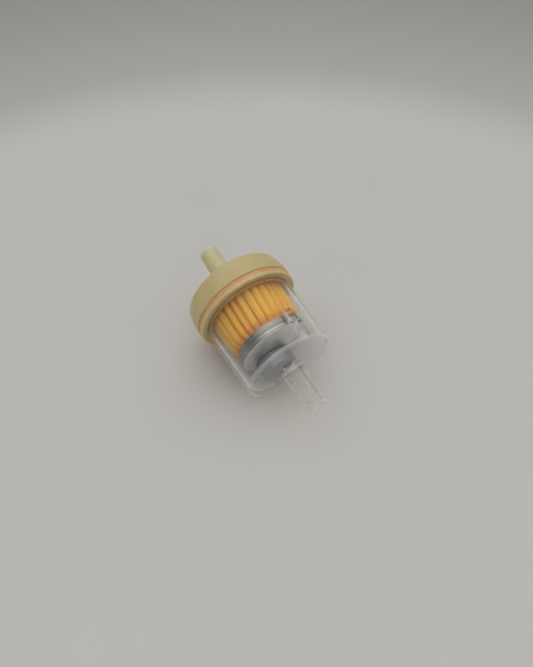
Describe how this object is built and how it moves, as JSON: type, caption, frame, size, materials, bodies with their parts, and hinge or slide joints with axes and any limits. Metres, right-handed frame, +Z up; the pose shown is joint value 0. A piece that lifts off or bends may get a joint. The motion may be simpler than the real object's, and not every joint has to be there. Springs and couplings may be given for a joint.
{
  "type": "inline fuel filter",
  "caption": "Sealed inline fuel filter: clear cup with inlet spigot, cream cap with outlet spigot, pleated paper element with steel end plates and a magnet.",
  "frame": {"origin": "on the flow axis, half way between the two spigot ends", "axes": "+X along the flow axis towards the outlet spigot, +Z up as the filter lies in the picture"},
  "size_m": [0.072, 0.0382, 0.0382],
  "materials": {
    "clear_plastic": "gloss",
    "cream_nylon": "satin",
    "amber_weld": "satin",
    "filter_paper": "matte",
    "tinplate": "satin",
    "plated_steel": "satin",
    "plastisol": "matte",
    "nitrile": "matte",
    "ferrite": "matte"
  },
  "bodies": {
    "root": {"clear_cup": "clear_plastic", "inlet_spigot": "clear_plastic", "outlet_cap": "cream_nylon", "weld_ring": "amber_weld", "pleated_paper": "filter_paper", "support_core": "tinplate", "closed_end_plate": "plated_steel", "open_end_plate": "plated_steel", "closed_end_potting": "plastisol", "open_end_potting": "plastisol", "outlet_gasket": "nitrile", "disc_magnet": "ferrite"}
  },
  "joints": []
}
